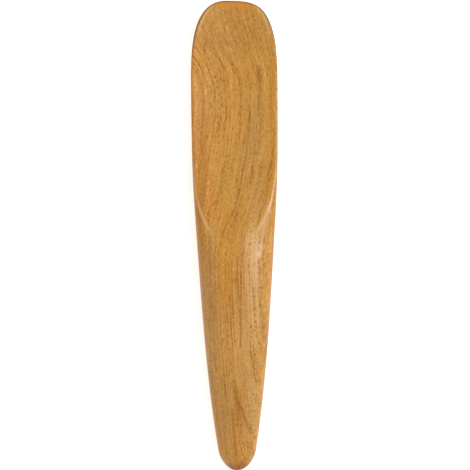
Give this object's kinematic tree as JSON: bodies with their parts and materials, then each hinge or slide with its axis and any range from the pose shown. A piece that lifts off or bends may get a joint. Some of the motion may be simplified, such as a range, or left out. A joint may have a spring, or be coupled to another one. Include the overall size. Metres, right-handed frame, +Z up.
{
  "type": "shoehorn",
  "caption": "Wooden shoehorn carved in one piece, with a scooped blade that runs into a rounded, tapering grip.",
  "frame": {"origin": "centre of the part's box in plan, on the surface that the part's back lies on", "axes": "+Z up, out of the scooped face; +Y along the part to the blade's tip; +X across it"},
  "size_m": [0.0342, 0.185, 0.0124],
  "materials": {
    "wood": "oiled and polished golden-brown hardwood, with fine growth rings and open pores"
  },
  "bodies": {
    "root": {"shoehorn_body": "wood"}
  },
  "joints": []
}
